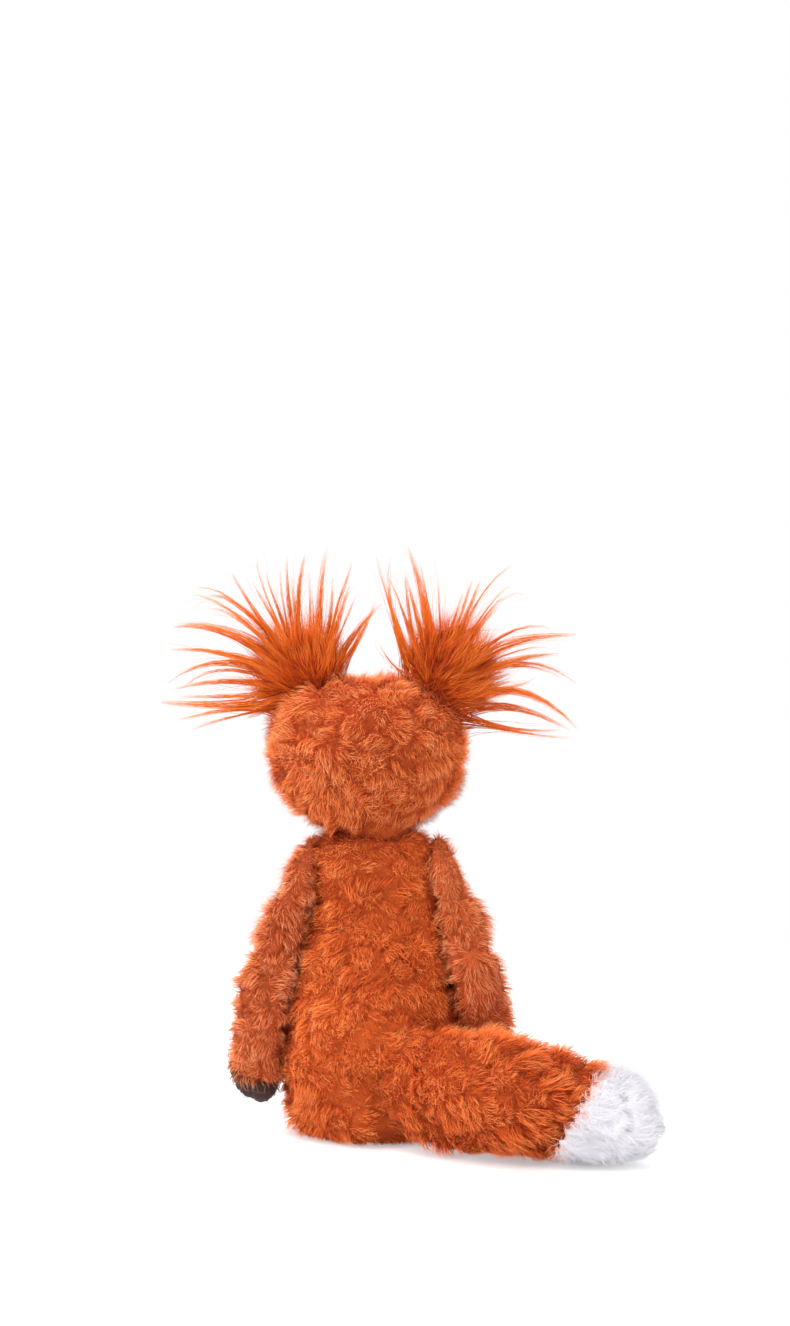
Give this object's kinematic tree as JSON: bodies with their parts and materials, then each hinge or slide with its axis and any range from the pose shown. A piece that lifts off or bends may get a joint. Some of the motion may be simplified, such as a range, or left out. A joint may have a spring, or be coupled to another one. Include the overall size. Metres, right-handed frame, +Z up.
{
  "type": "plush fox",
  "caption": "Sitting long-pile plush fox with jointed head, ears, arms, legs and tail, weighted seat and spiky long-haired ears.",
  "frame": {"origin": "middle of the flat seat under the body, on the surface that the toy sits on", "axes": "+Z up, the fox faces -Y and its left side is +X"},
  "size_m": [0.3109, 0.2972, 0.3761],
  "materials": {
    "orange_plush": "long wavy rust-orange pile",
    "white_plush": "soft white pile",
    "brown_plush": "short dark brown pile",
    "ear_hair": "very long bright orange hair in locks",
    "nose_velvet": "dark maroon velvet",
    "eye_plastic": "polished black",
    "washer_plastic": "moulded white",
    "stuffing": "loose white fibre",
    "bag_cloth": "plain woven cotton"
  },
  "bodies": {
    "torso": {"torso_skin": "orange_plush", "belly_panel": "white_plush", "torso_filling": "stuffing", "seat_pellet_bag": "bag_cloth"},
    "neck": {"neck_skin": "orange_plush", "neck_filling": "stuffing"},
    "head": {"head_skin": "orange_plush", "muzzle_panel": "white_plush", "nose": "nose_velvet", "head_filling": "stuffing", "left_eye": "eye_plastic", "right_eye": "eye_plastic", "left_eye_washer": "washer_plastic", "right_eye_washer": "washer_plastic"},
    "left_ear": {"left_ear": "ear_hair"},
    "right_ear": {"right_ear": "ear_hair"},
    "left_arm": {"left_arm_skin": "orange_plush", "left_paw_cap": "brown_plush", "left_arm_filling": "stuffing"},
    "left_leg": {"left_leg_skin": "orange_plush", "left_sole": "brown_plush", "left_leg_filling": "stuffing"},
    "right_arm": {"right_arm_skin": "orange_plush", "right_paw_cap": "brown_plush", "right_arm_filling": "stuffing"},
    "right_leg": {"right_leg_skin": "orange_plush", "right_sole": "brown_plush", "right_leg_filling": "stuffing"},
    "tail": {"tail_skin": "orange_plush", "tail_tip": "white_plush", "tail_filling": "stuffing"}
  },
  "joints": [
    {"name": "head_turn", "type": "hinge", "parent": "torso", "child": "neck", "pos_m": [0, 0, 0.205], "axis": [0, 0, 1], "range_deg": [-35, 35]},
    {"name": "head_nod", "type": "hinge", "parent": "neck", "child": "head", "pos_m": [0, 0, 0.205], "axis": [1, 0, 0], "range_deg": [-10, 10]},
    {"name": "left_ear_fold", "type": "hinge", "parent": "head", "child": "left_ear", "pos_m": [0.03949, 0.00035, 0.28587], "axis": [0.8406, 0, -0.5416], "range_deg": [-25, 25], "stiffness_Nm_per_rad": 0.02},
    {"name": "right_ear_fold", "type": "hinge", "parent": "head", "child": "right_ear", "pos_m": [-0.03949, 0.00035, 0.28587], "axis": [-0.8406, 0, -0.5416], "range_deg": [-25, 25], "stiffness_Nm_per_rad": 0.02},
    {"name": "left_arm_swing", "type": "hinge", "parent": "torso", "child": "left_arm", "pos_m": [0.03712, 0.005, 0.183], "axis": [-0.9842, 0, -0.1771], "range_deg": [0, 60]},
    {"name": "right_arm_swing", "type": "hinge", "parent": "torso", "child": "right_arm", "pos_m": [-0.03712, 0.005, 0.183], "axis": [-0.9842, 0, 0.1771], "range_deg": [0, 60]},
    {"name": "left_leg_swing", "type": "hinge", "parent": "torso", "child": "left_leg", "pos_m": [0.033, -0.044, 0.0193], "axis": [1, 0, 0], "range_deg": [0, 90]},
    {"name": "right_leg_swing", "type": "hinge", "parent": "torso", "child": "right_leg", "pos_m": [-0.033, -0.044, 0.0193], "axis": [1, 0, 0], "range_deg": [0, 90]},
    {"name": "tail_swing", "type": "hinge", "parent": "torso", "child": "tail", "pos_m": [0, 0.05833, 0.0437], "axis": [0, 0, 1], "range_deg": [-160, 0]}
  ]
}
